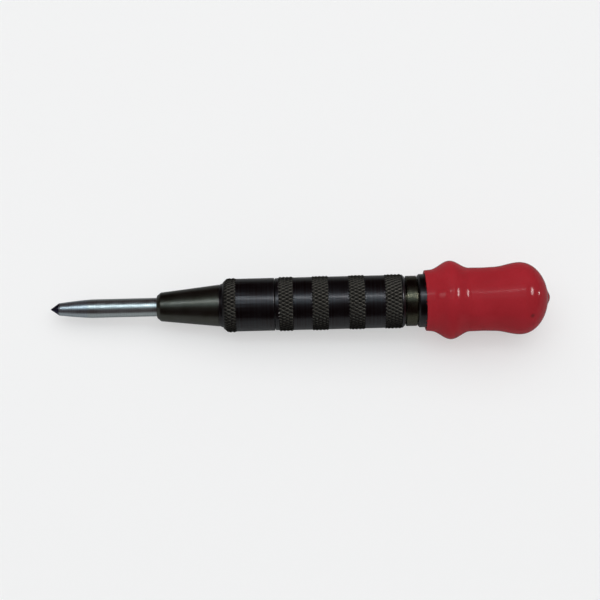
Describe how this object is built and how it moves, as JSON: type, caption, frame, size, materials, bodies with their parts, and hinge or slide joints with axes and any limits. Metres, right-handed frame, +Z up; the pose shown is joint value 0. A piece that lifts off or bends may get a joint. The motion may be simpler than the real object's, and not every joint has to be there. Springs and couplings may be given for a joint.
{
  "type": "automatic centre punch",
  "caption": "Spring-loaded automatic centre punch: sliding hardened point, knurled black body, screw adjuster for the force of the blow, and a soft vinyl grip cap.",
  "frame": {"origin": "tip of the point, where it meets the work", "axes": "+X runs along the tool's axis from the point to the cap; +Z is up with the tool lying on its side"},
  "size_m": [0.13, 0.0206, 0.0206],
  "materials": {
    "ground_steel": "finely ground along its length, polished cone",
    "hard_steel": "turned and hardened, lightly oiled",
    "spring_steel": "drawn wire",
    "oiled_steel": "turned, thin olive-brown oxide",
    "black_oxide": "oiled black oxide, satin, with diamond-knurled bands",
    "red_vinyl": "dip-moulded soft vinyl, glossy"
  },
  "bodies": {
    "barrel": {"barrel": "black_oxide", "nose_sleeve": "black_oxide", "stop_bush": "hard_steel", "return_spring": "spring_steel", "main_spring": "spring_steel"},
    "plunger": {"punch_point": "ground_steel", "plunger": "hard_steel", "release_pin": "hard_steel"},
    "hammer": {"hammer": "hard_steel", "catch_spring": "spring_steel"},
    "catch": {"catch_plate": "hard_steel"},
    "seat": {"spring_seat": "hard_steel"},
    "adjuster": {"adjuster_screw": "oiled_steel", "adjuster_head": "black_oxide", "head_set_screw": "black_oxide", "grip_cap": "red_vinyl"}
  },
  "joints": [
    {"name": "plunger_slide", "type": "slide", "parent": "barrel", "child": "plunger", "axis": [1, 0, 0], "range_m": [0, 0.007], "stiffness_N_per_m": 680, "springref_m": -0.0005, "deforming": ["return_spring"]},
    {"name": "hammer_slide", "type": "slide", "parent": "barrel", "child": "hammer", "axis": [1, 0, 0], "range_m": [0, 0.007], "deforming": ["main_spring"]},
    {"name": "catch_slide", "type": "slide", "parent": "hammer", "child": "catch", "axis": [0, 0, -1], "range_m": [0, 0.001], "deforming": ["catch_spring"]},
    {"name": "seat_slide", "type": "slide", "parent": "barrel", "child": "seat", "axis": [1, 0, 0], "range_m": [0, 0.004], "deforming": ["main_spring"]},
    {"name": "adjuster_turn", "type": "hinge", "parent": "seat", "child": "adjuster", "pos_m": [0.1, 0, 0], "axis": [1, 0, 0], "range_deg": [0, 1440]}
  ],
  "couplings": [
    {"joint": "hammer_slide", "follows": "plunger_slide", "ratio": 1},
    {"joint": "catch_slide", "follows": "plunger_slide", "ratio": 0.14286},
    {"joint": "adjuster_turn", "follows": "seat_slide", "rad_per_m": 6283.2}
  ]
}
